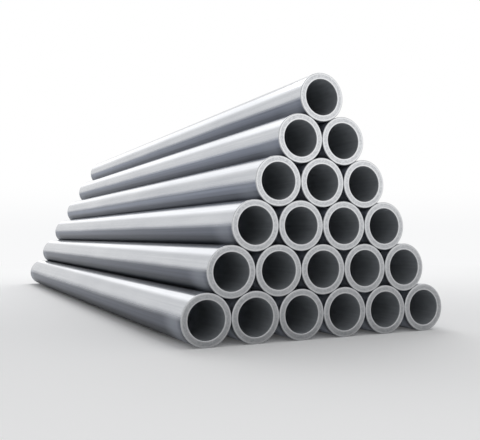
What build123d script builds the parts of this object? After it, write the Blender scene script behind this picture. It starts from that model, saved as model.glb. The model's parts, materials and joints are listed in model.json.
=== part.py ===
# A free-standing pyramid of thick-walled round steel pipes, stacked with no straps.
# Row frame: +Y runs along the pipes from the near mouths to the far ones, +X to the
# right when facing the near mouths, +Z up. The origin is on the floor at mid length,
# under the middle of the bottom row.
from build123d import *
import os
from math import radians, sin

# Driving dimensions, in millimetres.
pipe_diameter = 159.0  # outside diameter
pipe_wall = 21.0
pipe_length = 3000.0
outer_chamfer = 2.5  # deburred edge outside each mouth
bore_chamfer = 1.5  # deburred edge inside each mouth
contact_gap = 0.3  # clearance at each line where two pipes meet
bottom_row_count = 6  # each row above has one pipe fewer, down to one

pipe_radius = pipe_diameter / 2
bore_radius = pipe_radius - pipe_wall
pitch = pipe_diameter + contact_gap  # centre to centre of two pipes that meet
row_rise = pitch * sin(radians(60))  # a pipe lies in the groove of the two below it


def make_pipe():
    """One pipe along +Y, centred on its own axis and on mid length."""
    with BuildPart() as pipe:
        with BuildSketch(Plane.XZ):
            Circle(pipe_radius)
            Circle(bore_radius, mode=Mode.SUBTRACT)
        extrude(amount=pipe_length / 2, both=True)
        mouth_edges = pipe.edges().filter_by(GeomType.CIRCLE).sort_by(SortBy.RADIUS)
        chamfer(mouth_edges[-2:], outer_chamfer)
        chamfer(mouth_edges[:2], bore_chamfer)
    return pipe.part


def row_places(row):
    """Centres of the pipes of one row, left to right. Row 0 is on the floor."""
    count = bottom_row_count - row
    height = pipe_radius + row * row_rise
    return [((column - (count - 1) / 2) * pitch, height) for column in range(count)]


def main():
    os.makedirs("parts", exist_ok=True)
    pipe = make_pipe()
    for row in range(bottom_row_count):
        for column, (across, height) in enumerate(row_places(row)):
            placed = Pos(across, 0, height) * pipe
            export_step(placed, f"parts/pipe_row{row + 1}_{column + 1}.step")


main()
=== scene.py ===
# Dresses a stack of drawn steel pipes: bright skins, sawn ring faces, dull dark bores.
# Metres, in the frame's own axes: +Y along the pipes, +Z up, the floor at z = 0.
import json
import random
from math import pi, radians

import bmesh
import bpy
from mathutils import Euler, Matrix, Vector


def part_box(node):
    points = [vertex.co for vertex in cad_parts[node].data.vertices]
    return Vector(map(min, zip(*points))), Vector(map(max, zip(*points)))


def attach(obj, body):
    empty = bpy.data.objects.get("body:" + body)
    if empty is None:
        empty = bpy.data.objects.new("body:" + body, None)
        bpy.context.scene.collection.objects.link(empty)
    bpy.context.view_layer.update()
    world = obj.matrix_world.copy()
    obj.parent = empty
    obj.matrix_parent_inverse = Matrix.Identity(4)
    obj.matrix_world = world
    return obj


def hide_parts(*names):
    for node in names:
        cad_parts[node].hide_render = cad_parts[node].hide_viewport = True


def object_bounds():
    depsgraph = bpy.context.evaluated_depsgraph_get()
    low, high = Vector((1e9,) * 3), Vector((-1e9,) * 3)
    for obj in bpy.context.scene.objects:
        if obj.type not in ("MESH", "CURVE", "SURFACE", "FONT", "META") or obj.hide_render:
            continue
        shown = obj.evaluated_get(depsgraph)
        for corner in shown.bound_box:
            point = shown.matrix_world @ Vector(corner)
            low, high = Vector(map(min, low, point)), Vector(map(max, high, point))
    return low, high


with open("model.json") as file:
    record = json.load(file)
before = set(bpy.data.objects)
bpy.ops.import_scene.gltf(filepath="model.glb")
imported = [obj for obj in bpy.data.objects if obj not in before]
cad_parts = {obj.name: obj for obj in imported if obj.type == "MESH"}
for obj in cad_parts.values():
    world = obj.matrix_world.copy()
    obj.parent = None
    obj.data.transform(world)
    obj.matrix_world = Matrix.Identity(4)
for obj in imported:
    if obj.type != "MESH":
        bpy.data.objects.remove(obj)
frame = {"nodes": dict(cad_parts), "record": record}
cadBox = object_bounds()
boreRadius = frame["record"]["mounts"][0]["dims"]["r_mm"] / 1000
print("frame:", len(frame["nodes"]), "pipes")


# Node helpers

white = (1, 1, 1, 1)
mostNoise = (0.3, 0.7)  # nearly all values of a noise pattern lie between these
noiseRoughness = 0.55


def newMaterial(name):
    material = bpy.data.materials.new(name)
    material.use_nodes = True
    material.node_tree.nodes.clear()
    return material, material.node_tree


def addNode(tree, kind, inputs=None, **settings):
    node = tree.nodes.new(kind)
    for key, value in settings.items():
        setattr(node, key, value)
    for socket, value in (inputs or {}).items():
        if isinstance(value, bpy.types.NodeSocket):
            tree.links.new(value, node.inputs[socket])
        else:
            node.inputs[socket].default_value = value
    return node


def objectCoords(tree):
    return addNode(tree, "ShaderNodeTexCoord").outputs["Object"]


def attribute(tree, name):
    return addNode(tree, "ShaderNodeAttribute", attribute_name=name).outputs["Fac"]


def separate(tree, vector):
    return addNode(tree, "ShaderNodeSeparateXYZ", {0: vector}).outputs


def grain(tree, coords, pattern):
    # noise from a pattern: its features per metre across, along and up the pipe, and its detail
    perMetre, detail = pattern
    mapped = addNode(tree, "ShaderNodeMapping", {"Vector": coords, "Scale": perMetre})
    inputs = {"Vector": mapped.outputs[0], "Scale": 1.0, "Detail": detail, "Roughness": noiseRoughness}
    return addNode(tree, "ShaderNodeTexNoise", inputs).outputs[0]


def remap(tree, source, low, high, between=mostNoise, curve="LINEAR"):
    # goes from low to high while the source passes between two values
    inputs = {0: source, 1: between[0], 2: between[1], 3: low, 4: high}
    return addNode(tree, "ShaderNodeMapRange", inputs, interpolation_type=curve).outputs[0]


def ease(tree, source, low, high, between):
    return remap(tree, source, low, high, between, "SMOOTHSTEP")


def calculate(tree, operation, first, second=0.0, third=0.0):
    return addNode(tree, "ShaderNodeMath", {0: first, 1: second, 2: third}, operation=operation).outputs[0]


def multiply(tree, first, second):
    return calculate(tree, "MULTIPLY", first, second)


def weigh(tree, share, first, second):
    return addNode(tree, "ShaderNodeMix", {0: share, 2: first, 3: second}, data_type="FLOAT").outputs[0]


def mixColours(tree, share, first, second):
    return addNode(tree, "ShaderNodeMix", {0: share, 6: first, 7: second}, data_type="RGBA").outputs[2]


def shadeColour(tree, colour, shade):
    return addNode(tree, "ShaderNodeVectorMath", {0: colour, 3: shade}, operation="SCALE").outputs[0]


def bump(tree, height, depth):
    return addNode(tree, "ShaderNodeBump", {"Height": height, "Distance": depth}).outputs[0]


def distanceToMouth(tree, alongPipe):
    # every pipe is centred on the frame's origin along its length
    return calculate(tree, "SUBTRACT", cadBox[1].y, calculate(tree, "ABSOLUTE", alongPipe))


def finishSteel(tree, inputs):
    shader = addNode(tree, "ShaderNodeBsdfPrincipled", inputs)
    addNode(tree, "ShaderNodeOutputMaterial", {"Surface": shader.outputs[0]})


# Painted shade: a dull dark coat in the grooves where pipes meet and on the lower flanks, standing in for
# contact shade and a dark reflected floor

paintedShadeLook = {
    "colour": (0.22, 0.244, 0.305, 1),
    "edge": (0.0247, 0.0353),  # distances from the next pipe between which the painted shade ends
    "ragged": 0.003,  # how far its edge wanders
    "deepestShade": (0.10, 0.11, 0.13, 1),  # painted shade, darkest closest to the next pipe
    "deepEdge": (0.004, 0.024),
    "belowWeight": 0.41,  # distances to the pipes below count for less, so the painted shade spreads further over a pipe's lower side
    "belowWeightByHeight": 0.235,  # and for more with each metre of height, so it is narrower up the stack
    "offFloor": 0.335,  # heights over the floor count for less too
    "aboveWeight": 3.0,  # and distances to the pipes above for more
    "dry": (0.34, 0.365, 0.42, 1),  # painted light: a paler band in the grooves just behind the mouths, which evens out the shade deepening into the gaps
    "gapLightLow": (0.54, 0.575, 0.64, 1),  # and paler still low in the stack, painted light too
    "gapLightHeights": (0.08, 0.50),  # heights between which one turns into the other
    "gapLightFrom": (0.002, 0.045),  # distances from a mouth between which the painted light band sets in
    "dryTo": (0.07, 0.18),  # and between which it ends
    "gapLightInside": (0.058, 0.070),  # distances from a second pipe between which less of the band is painted
    "gapLightOutside": 0.35,  # the share of the band painted on the stack's flanks
    "rimLight": 1.14,  # its rim is painted paler
    "rimLightFrom": (0.014, 0.019),  # distances from the next pipe between which that sets in
    "tideLines": (0.0128, 0.0262),  # distances at which thin darker lines are painted into it
    "shadeLineWidth": 0.0015,
    "shadeLineTone": 0.78,
    "streaky": (0.8, 1.2),  # how much darker and lighter its streaks are
    "streakRange": (0.35, 0.65),
    "lowShade": 0.55,  # painted shade: it is darker low in the stack
    "lowHeights": (0.25, 0.50),  # and has its full colour from the second of these heights up
    "metallic": 0.3,
    "roughness": 0.36,
    "gapLightMetallic": 0.2,
    "gapLightRoughness": 0.5,
    "shine": 0.15,  # specular level, which bare metal doesn't use
}


def paintedShadeTone(tree, gap, height, streaks):
    # painted shade and light as one factor: its streaks, its darker tone low in the stack, its paler rim
    # and its thin darker lines
    shade = remap(tree, streaks, *paintedShadeLook["streaky"], paintedShadeLook["streakRange"])
    shade = multiply(tree, shade, ease(tree, height, paintedShadeLook["lowShade"], 1, paintedShadeLook["lowHeights"]))
    shade = multiply(tree, shade, ease(tree, gap, 1, paintedShadeLook["rimLight"], paintedShadeLook["rimLightFrom"]))
    for line in paintedShadeLook["tideLines"]:
        toLine = calculate(tree, "ABSOLUTE", calculate(tree, "SUBTRACT", gap, line))
        tide = ease(tree, toLine, paintedShadeLook["shadeLineTone"], 1, (0, paintedShadeLook["shadeLineWidth"]))
        shade = multiply(tree, shade, tide)
    return shade


def gapLightShare(tree, alongPipe):
    # how much of the painted shade gives way to the paler painted light band just behind the mouths
    toMouth = distanceToMouth(tree, alongPipe)
    setIn = ease(tree, toMouth, 0, 1, paintedShadeLook["gapLightFrom"])
    runOut = ease(tree, toMouth, 1, 0, paintedShadeLook["dryTo"])
    left = ease(tree, attribute(tree, "toSecondPipe"), 1, paintedShadeLook["gapLightOutside"], paintedShadeLook["gapLightInside"])
    return multiply(tree, multiply(tree, setIn, runOut), left)


def paintShadeCoat(tree, coords, clouds, streaks):
    # how much painted shade there is, and its colour, metallic and roughness
    wander = calculate(tree, "MULTIPLY_ADD", clouds, paintedShadeLook["ragged"], -paintedShadeLook["ragged"] / 2)
    gap = calculate(tree, "ADD", attribute(tree, "toNextPipe"), wander)
    shadeShare = ease(tree, gap, 1, 0, paintedShadeLook["edge"])
    deepestShade = ease(tree, gap, 1, 0, paintedShadeLook["deepEdge"])
    place = separate(tree, coords)
    gapLit = gapLightShare(tree, place["Y"])
    colour = mixColours(tree, deepestShade, paintedShadeLook["colour"], paintedShadeLook["deepestShade"])
    colour = shadeColour(tree, colour, paintedShadeTone(tree, gap, place["Z"], streaks))
    raised = remap(tree, place["Z"], 0, 1, paintedShadeLook["gapLightHeights"])
    gapLightColour = mixColours(tree, raised, paintedShadeLook["gapLightLow"], paintedShadeLook["dry"])
    colour = mixColours(tree, gapLit, colour, gapLightColour)
    metallic = weigh(tree, gapLit, paintedShadeLook["metallic"], paintedShadeLook["gapLightMetallic"])
    roughness = weigh(tree, gapLit, paintedShadeLook["roughness"], paintedShadeLook["gapLightRoughness"])
    return shadeShare, colour, metallic, roughness


# Skin: bright drawn steel, with draw lines along the pipe

skinLook = {
    "dark": (0.497, 0.514, 0.546, 1),
    "light": (0.632, 0.647, 0.67, 1),
    "drawLines": ((230, 1.1, 230), 4),  # features per metre across, along and up, and detail
    "fineLines": ((900, 6, 900), 2),
    "streaks": ((62, 0.3, 62), 4),
    "clouds": ((9, 2.2, 9), 4),
    "fineShare": 0.4,  # of the lines
    "streakShare": 0.5,  # of lines and streaks
    "cloudShare": 0.4,  # of the whole tone
    "toneRange": (0.38, 0.62),
    "lineDepth": 0.00005,
    "smooth": 0.10,
    "rough": 0.16,
    "metallic": 0.94,
    "grazingTint": (0.88, 0.88, 0.885, 1),  # steel mirrors a little less just short of grazing
}


def makeSkin():
    material, tree = newMaterial("drawn_skin")
    coords = objectCoords(tree)
    drawLines = grain(tree, coords, skinLook["drawLines"])
    fineLines = grain(tree, coords, skinLook["fineLines"])
    streaks = grain(tree, coords, skinLook["streaks"])
    clouds = grain(tree, coords, skinLook["clouds"])
    lines = weigh(tree, skinLook["fineShare"], drawLines, fineLines)
    tone = weigh(tree, skinLook["streakShare"], lines, streaks)
    tone = weigh(tree, skinLook["cloudShare"], tone, clouds)
    tone = calculate(tree, "ADD", tone, attribute(tree, "pipeTone"))
    toned = remap(tree, tone, 0, 1, skinLook["toneRange"])
    bareColour = mixColours(tree, toned, skinLook["dark"], skinLook["light"])
    bareRoughness = remap(tree, tone, skinLook["rough"], skinLook["smooth"])
    # painted shade and painted reflection laid over the bare steel in the grooves and on the lower flanks
    shadeShare, paintedShadeColour, paintedShadeMetallic, paintedShadeRoughness = paintShadeCoat(tree, coords, clouds, streaks)
    finishSteel(tree, {
        "Base Color": mixColours(tree, shadeShare, bareColour, paintedShadeColour),
        "Metallic": weigh(tree, shadeShare, skinLook["metallic"], paintedShadeMetallic),
        "Roughness": weigh(tree, shadeShare, bareRoughness, paintedShadeRoughness),
        "Specular IOR Level": paintedShadeLook["shine"],
        "Specular Tint": skinLook["grazingTint"],
        "Normal": bump(tree, lines, skinLook["lineDepth"]),
    })
    return material


# Cut face: sawn rings and a salt-and-pepper grain, with both rims lighter, partly burnish and partly a
# painted highlight

cutLook = {
    "dark": (0.475, 0.488, 0.51, 1),
    "light": (0.78, 0.791, 0.81, 1),
    "grains": ((520, 520, 520), 3),
    "mottle": ((120, 120, 120), 4),
    "mottleShare": 0.35,
    "toneRange": (0.41, 0.59),
    "rim": (0.895, 0.906, 0.92, 1),
    "rimShare": 0.85,  # how far the rims take the lighter colour, part burnish and part painted highlight
    "rimEdge": (0.0016, 0.0046),  # distances from either rim between which that ends
    "lowShade": 0.54,  # painted shade: the lowest faces are darker
    "lowHeights": (0.08, 0.62),
    "sawRings": 1500,  # radians of ring pattern per metre of radius
    "sawWander": 3,  # and how many of them the mottle adds
    "sawShare": 0.3,  # height of the rings against the grains
    "sawDepth": 0.00003,
    "metallic": 0.96,
    "roughness": 0.23,
    "rimRoughness": 0.20,
}


def makeCut(rimInside, rimOutside):
    material, tree = newMaterial("cut_face")
    coords = objectCoords(tree)
    fromAxis = attribute(tree, "fromAxis")
    grains = grain(tree, coords, cutLook["grains"])
    mottle = grain(tree, coords, cutLook["mottle"])
    tone = remap(tree, weigh(tree, cutLook["mottleShare"], grains, mottle), 0, 1, cutLook["toneRange"])
    colour = mixColours(tree, tone, cutLook["dark"], cutLook["light"])
    toInside = calculate(tree, "SUBTRACT", fromAxis, rimInside)
    toOutside = calculate(tree, "SUBTRACT", rimOutside, fromAxis)
    toRim = calculate(tree, "MINIMUM", toInside, toOutside)
    # the rims' lighter colour is partly burnish and partly a painted highlight of the broken edges
    burnishAndGlint = ease(tree, toRim, cutLook["rimShare"], 0, cutLook["rimEdge"])
    colour = mixColours(tree, burnishAndGlint, colour, cutLook["rim"])
    # painted shade: the cut faces darken towards the bottom of the stack
    shade = ease(tree, separate(tree, coords)["Z"], cutLook["lowShade"], 1, cutLook["lowHeights"])
    wander = multiply(tree, mottle, cutLook["sawWander"])
    sawn = calculate(tree, "SINE", calculate(tree, "MULTIPLY_ADD", fromAxis, cutLook["sawRings"], wander))
    height = calculate(tree, "MULTIPLY_ADD", sawn, cutLook["sawShare"], grains)
    finishSteel(tree, {
        "Base Color": shadeColour(tree, colour, shade),
        "Metallic": cutLook["metallic"],
        "Roughness": weigh(tree, burnishAndGlint, cutLook["roughness"], cutLook["rimRoughness"]),
        "Normal": bump(tree, height, cutLook["sawDepth"]),
    })
    return material


# Broken edge: the filed round between the cut face and the walls

edgeLook = {
    "dark": (0.39, 0.40, 0.415, 1),
    "light": (0.58, 0.59, 0.605, 1),
    "nicks": ((260, 260, 260), 3),
    "smooth": 0.30,
    "rough": 0.45,
    "metallic": 0.95,
}


def makeEdge():
    material, tree = newMaterial("broken_edge")
    nicks = grain(tree, objectCoords(tree), edgeLook["nicks"])
    finishSteel(tree, {
        "Base Color": mixColours(tree, remap(tree, nicks, 0, 1), edgeLook["dark"], edgeLook["light"]),
        "Metallic": edgeLook["metallic"],
        "Roughness": remap(tree, nicks, edgeLook["rough"], edgeLook["smooth"]),
    })
    return material


# Bore: dull dark mill scale with faint streaks along it

boreLook = {
    "dark": (0.245, 0.262, 0.283, 1),
    "light": (0.355, 0.377, 0.402, 1),
    "streaks": ((160, 3, 160), 4),
    "scale": ((40, 18, 40), 5),
    "scaleShare": 0.5,
    "scaleDepth": 0.0002,
    "thinned": 2.1,  # painted light: the bore is paler farther in
    "thinnedFrom": (0.15, 0.30),  # distances from a mouth between which that sets in
    "smooth": 0.5,
    "rough": 0.62,
    "metallic": 0.25,
}


def makeBore():
    material, tree = newMaterial("dull_bore")
    coords = objectCoords(tree)
    streaks = grain(tree, coords, boreLook["streaks"])
    scale = grain(tree, coords, boreLook["scale"])
    tone = weigh(tree, boreLook["scaleShare"], streaks, scale)
    colour = mixColours(tree, remap(tree, tone, 0, 1), boreLook["dark"], boreLook["light"])
    toMouth = distanceToMouth(tree, separate(tree, coords)["Y"])
    # painted light, lifting the bore's colour deep inside
    shade = ease(tree, toMouth, 1, boreLook["thinned"], boreLook["thinnedFrom"])
    finishSteel(tree, {
        "Base Color": shadeColour(tree, colour, shade),
        "Metallic": boreLook["metallic"],
        "Roughness": remap(tree, tone, boreLook["rough"], boreLook["smooth"]),
        "Normal": bump(tree, tone, boreLook["scaleDepth"]),
    })
    return material


# The pipes

pipeShape = {
    "facets": 144,  # round each pipe
    "sharp": 45,  # degrees over which an edge is a corner of the wall
    "outerBreak": 0.0025,  # filed edge outside each mouth
    "boreBreak": 0.0015,  # and inside it
    "breakFacets": 4,
    "holdBack": 0.004,  # a ring of edges this far from the mouth keeps the long walls' shading straight
    "faceHold": 0.0009,  # and this far inside the cut face keeps it flat
    "square": 0.99,  # a face is cut square where its normal points along the pipe by more than this
    "slanted": 0.01,  # and lies on a broken edge where it does by more than this
    "reach": 3,  # pipes whose axes are closer than this many outer radii count as neighbours
    "toneSpread": 0.035,  # how much lighter or darker than the rest a pipe may be
    "toneSeed": 21,
}
pipeNodes = sorted(frame["nodes"])
firstLow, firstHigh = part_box(pipeNodes[0])
outerRadius = (firstHigh.x - firstLow.x) / 2
midWall = (boreRadius + outerRadius) / 2
rimInside = boreRadius + pipeShape["boreBreak"]
rimOutside = outerRadius - pipeShape["outerBreak"]
pipeAxes = {node: Vector(((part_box(node)[0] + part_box(node)[1]) / 2).xz) for node in pipeNodes}
finishes = {
    "skin": makeSkin(),
    "cut": makeCut(rimInside, rimOutside),
    "edge": makeEdge(),
    "bore": makeBore(),
}
finishOrder = list(finishes)
print("steel finishes made:", len(finishes))


def fromPipeAxis(point):
    return Vector((point.x, point.z)).length


def spinWall(bm, nearEnd, farEnd):
    # a rectangle of wall, spun round the pipe's own axis
    corners = [(boreRadius, nearEnd), (outerRadius, nearEnd), (outerRadius, farEnd), (boreRadius, farEnd)]
    verts = [bm.verts.new((across, along, 0)) for across, along in corners]
    edges = [bm.edges.new((verts[i - 1], verts[i])) for i in range(len(verts))]
    bmesh.ops.spin(bm, geom=verts + edges, cent=(0, 0, 0), axis=(0, 1, 0), angle=2 * pi,
                   steps=pipeShape["facets"], use_merge=True, use_duplicate=False)
    bmesh.ops.recalc_face_normals(bm, faces=bm.faces)


def breakEdges(bm, nearEnd, farEnd):
    corners = [e for e in bm.edges if e.calc_face_angle() > radians(pipeShape["sharp"])]
    outside = [e for e in corners if fromPipeAxis(e.verts[0].co) > midWall]
    inside = [e for e in corners if fromPipeAxis(e.verts[0].co) < midWall]
    for edges, width in ((outside, pipeShape["outerBreak"]), (inside, pipeShape["boreBreak"])):
        bmesh.ops.bevel(bm, geom=edges, offset=width, offset_type="OFFSET", affect="EDGES",
                        segments=pipeShape["breakFacets"], profile=0.5, material=-1)
    cutFaces = [f for f in bm.faces if abs(f.normal.y) > pipeShape["square"]]
    bmesh.ops.inset_region(bm, faces=cutFaces, thickness=pipeShape["faceHold"], use_even_offset=True)
    for along in (nearEnd + pipeShape["holdBack"], farEnd - pipeShape["holdBack"]):
        everything = bm.verts[:] + bm.edges[:] + bm.faces[:]
        bmesh.ops.bisect_plane(bm, geom=everything, plane_co=(0, along, 0), plane_no=(0, 1, 0))


def paintFaces(bm):
    for face in bm.faces:
        finish = "skin"
        if abs(face.normal.y) > pipeShape["square"]:
            finish = "cut"
        elif abs(face.normal.y) > pipeShape["slanted"]:
            finish = "edge"
        elif fromPipeAxis(face.calc_center_median()) < midWall:
            finish = "bore"
        face.material_index = finishOrder.index(finish)
        face.smooth = True


def gapsToPipes(point, axis, others):
    # distance from a point on one pipe to the floor or the nearest other skin, weighed to shape the painted
    # shade, and the plain distance to the second nearest
    plain = [point.z]
    weighed = [point.z * paintedShadeLook["offFloor"]]
    for other in others:
        gap = (Vector((point.x, point.z)) - other).length - outerRadius
        plain.append(gap)
        if axis.y - other.y > outerRadius:
            gap *= paintedShadeLook["belowWeight"] + paintedShadeLook["belowWeightByHeight"] * point.z
        elif other.y - axis.y > outerRadius:
            gap *= paintedShadeLook["aboveWeight"]
        weighed.append(gap)
    return min(weighed), sorted(plain)[1]


def noteOnPoints(mesh, name, values):
    layer = mesh.attributes.new(name, "FLOAT", "POINT")
    layer.data.foreach_set("value", values)


def addToScene(name, data):
    placed = bpy.data.objects.new(name, data)
    bpy.context.scene.collection.objects.link(placed)
    return placed


def makePipe(node, tone):
    low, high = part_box(node)
    centre = (low + high) / 2
    bm = bmesh.new()
    spinWall(bm, low.y, high.y)
    breakEdges(bm, low.y, high.y)
    paintFaces(bm)
    distances = [fromPipeAxis(v.co) for v in bm.verts]
    bmesh.ops.translate(bm, verts=bm.verts, vec=(centre.x, 0, centre.z))
    axis = pipeAxes[node]
    reach = pipeShape["reach"] * outerRadius
    others = [other for other in pipeAxes.values() if 0 < (other - axis).length < reach]
    gaps, secondGaps = zip(*[gapsToPipes(v.co, axis, others) for v in bm.verts])
    mesh = bpy.data.meshes.new("drawn_" + node)
    bm.to_mesh(mesh)
    bm.free()
    noteOnPoints(mesh, "fromAxis", distances)
    noteOnPoints(mesh, "toNextPipe", gaps)
    noteOnPoints(mesh, "toSecondPipe", secondGaps)
    noteOnPoints(mesh, "pipeTone", [tone] * len(distances))
    for finish in finishes.values():
        mesh.materials.append(finish)
    piece = addToScene("drawn_" + node, mesh)
    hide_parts(node)
    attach(piece, "root")
    return piece


dice = random.Random(pipeShape["toneSeed"])
pipes = [makePipe(node, dice.uniform(-1, 1) * pipeShape["toneSpread"]) for node in pipeNodes]
print("pipes made:", len(pipes), "with", len(pipes[0].data.polygons), "faces each")


# Floor and world

floorLook = {
    "radius": 90.0,
    "sides": 96,
    "colour": (0.94, 0.943, 0.95, 1),
    "fade": (1.2, 5.0),  # distances from the origin between which the floor turns into the horizon
}
worldLook = {
    "horizon": (0.94, 0.943, 0.948, 1),
    "whitens": (0.0, 0.075),  # heights of a unit view direction between which the backdrop turns white
    "seen": 1.0,  # strength of the backdrop and horizon as they are seen and mirrored
    "ambient": 0.56,  # strength of the white light that they give
}


def seenRays(tree):
    # 1 for camera, glossy and transmission rays, 0 for the rest
    path = addNode(tree, "ShaderNodeLightPath").outputs
    both = calculate(tree, "MAXIMUM", path["Is Camera Ray"], path["Is Glossy Ray"])
    return calculate(tree, "MAXIMUM", both, path["Is Transmission Ray"])


def makeFloor():
    bm = bmesh.new()
    bmesh.ops.create_circle(bm, cap_ends=True, radius=floorLook["radius"], segments=floorLook["sides"])
    mesh = bpy.data.meshes.new("floor")
    bm.to_mesh(mesh)
    bm.free()
    material, tree = newMaterial("pale_floor")
    away = addNode(tree, "ShaderNodeVectorMath", {0: objectCoords(tree)}, operation="LENGTH")
    faded = remap(tree, away.outputs["Value"], 0, 1, floorLook["fade"])
    share = multiply(tree, faded, seenRays(tree))
    matt = addNode(tree, "ShaderNodeBsdfDiffuse", {"Color": floorLook["colour"]})
    glow = {"Color": worldLook["horizon"], "Strength": worldLook["seen"]}
    horizon = addNode(tree, "ShaderNodeEmission", glow)
    mixed = addNode(tree, "ShaderNodeMixShader", {0: share, 1: matt.outputs[0], 2: horizon.outputs[0]})
    addNode(tree, "ShaderNodeOutputMaterial", {"Surface": mixed.outputs[0]})
    mesh.materials.append(material)
    floor = addToScene("floor", mesh)


def makeWorld():
    world = bpy.data.worlds.new("studio")
    world.use_nodes = True
    tree = world.node_tree
    tree.nodes.clear()
    direction = addNode(tree, "ShaderNodeTexCoord").outputs["Generated"]
    risen = ease(tree, separate(tree, direction)["Z"], 0, 1, worldLook["whitens"])
    backdrop = mixColours(tree, risen, worldLook["horizon"], white)
    dim = addNode(tree, "ShaderNodeBackground", {"Color": white, "Strength": worldLook["ambient"]})
    seen = addNode(tree, "ShaderNodeBackground", {"Color": backdrop, "Strength": worldLook["seen"]})
    mixed = addNode(tree, "ShaderNodeMixShader", {0: seenRays(tree), 1: dim.outputs[0], 2: seen.outputs[0]})
    addNode(tree, "ShaderNodeOutputWorld", {"Surface": mixed.outputs[0]})
    bpy.context.scene.world = world


makeFloor()
makeWorld()


# Soft boxes, each with its place, what it points at, its width and height, and how bright its face is

softBoxes = {
    "back_box": {
        "place": (-0.7, 8.0, 3.8), "aim": (-0.7, 0, 3.8),
        "size": (6.0, 6.0), "bright": 0.6, "fan": True,
    },
    "front_box": {
        "place": (0.7, -8.0, 3.8), "aim": (0.7, 0, 3.8),
        "size": (6.0, 6.0), "bright": 0.6, "fan": True,
    },
    "overhead": {
        "place": (1.4, 3.0, 4.8), "aim": (1.4, 3.0, 0),
        "size": (5.0, 4.5), "bright": 2.05, "fan": False,
    },
}
fanLook = {
    "foot": (0.34, -0.08),  # where the fan of light starts, in widths and heights of its box
    "openSide": (-0.62, -0.24),  # angles in radians between which its soft side fades in
    "shutSide": (0.16, 0.32),  # and between which its other side fades out
}


def shapeFan(lamp):
    # fades the box's face into a fan of light that opens upwards
    lamp.use_nodes = True
    tree = lamp.node_tree
    tree.nodes.clear()
    place = separate(tree, addNode(tree, "ShaderNodeNewGeometry").outputs["Parametric"])
    right = calculate(tree, "SUBTRACT", fanLook["foot"][0], place["X"])
    above = calculate(tree, "SUBTRACT", place["Y"], fanLook["foot"][1])
    angle = calculate(tree, "ARCTAN2", right, above)
    fadeIn = ease(tree, angle, 0, 1, fanLook["openSide"])
    fadeOut = ease(tree, angle, 1, 0, fanLook["shutSide"])
    glow = addNode(tree, "ShaderNodeEmission", {"Strength": multiply(tree, fadeIn, fadeOut)})
    addNode(tree, "ShaderNodeOutputLight", {"Surface": glow.outputs[0]})


def makeSoftBox(name, box):
    lamp = bpy.data.lights.new(name, "AREA")
    lamp.shape = "RECTANGLE"
    lamp.size, lamp.size_y = box["size"]
    lamp.energy = box["bright"] * pi * lamp.size * lamp.size_y
    if box["fan"]:
        shapeFan(lamp)
    holder = addToScene(name, lamp)
    holder.location = box["place"]
    towards = Vector(box["aim"]) - Vector(box["place"])
    holder.rotation_euler = towards.to_track_quat("-Z", "Y").to_euler()


for name, box in softBoxes.items():
    makeSoftBox(name, box)
print("floor, world and", len(softBoxes), "soft boxes placed")


# Camera

cameraSettings = {
    "place": (-1.1400, -3.3323, 0.3245),
    "turned": -26.134,  # degrees from +Y, negative to the right
    "raised": 3.915,  # degrees over the horizon
    "rolled": 0.124,
    "lens": 50.553,
    "shift": (-0.03167, -0.06369),
}


def makeCamera():
    camera = bpy.data.cameras.new("camera")
    camera.lens = cameraSettings["lens"]
    camera.shift_x, camera.shift_y = cameraSettings["shift"]
    holder = addToScene("camera", camera)
    holder.location = cameraSettings["place"]
    tilt = 90 + cameraSettings["raised"]  # 90 degrees up from straight down is level
    turns = (tilt, cameraSettings["rolled"], cameraSettings["turned"])
    holder.rotation_euler = Euler([radians(angle) for angle in turns])
    bpy.context.scene.camera = holder


makeCamera()
bpy.context.scene.view_settings.view_transform = "Standard"
